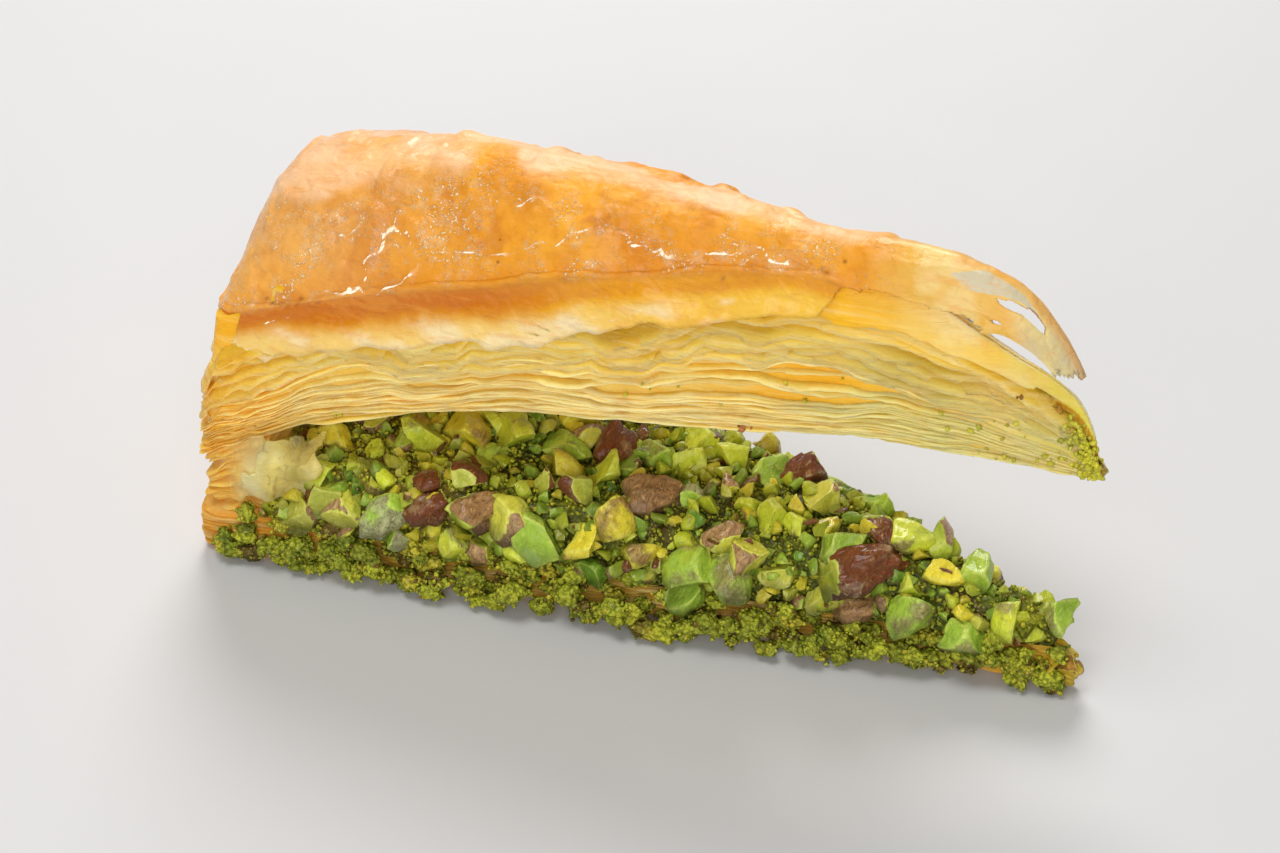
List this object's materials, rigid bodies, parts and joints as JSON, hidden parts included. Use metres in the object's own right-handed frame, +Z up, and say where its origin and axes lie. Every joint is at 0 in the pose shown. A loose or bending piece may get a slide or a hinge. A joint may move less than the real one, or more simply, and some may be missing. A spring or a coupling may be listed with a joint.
{
  "type": "pistachio baklava slice",
  "caption": "Long wedge of puffed filo pastry, sprung open like a jaw over a heap of chopped pistachio on a flat pastry base.",
  "frame": {"origin": "on the flat underside, on the slice's middle line, halfway between the rim and the tip", "axes": "+X from the wide rim towards the thin tip, +Y across to the side away from the picture's viewer, +Z up"},
  "size_m": [0.149, 0.0622, 0.076],
  "materials": {
    "base_pastry": "syrup-soaked browned filo",
    "pistachio": "chopped kernels, slightly oily",
    "golden_crust": "golden baked filo glazed with syrup"
  },
  "bodies": {
    "root": {"base_pastry": "base_pastry", "pistachio_filling": "pistachio", "top_pastry": "golden_crust"}
  },
  "joints": []
}
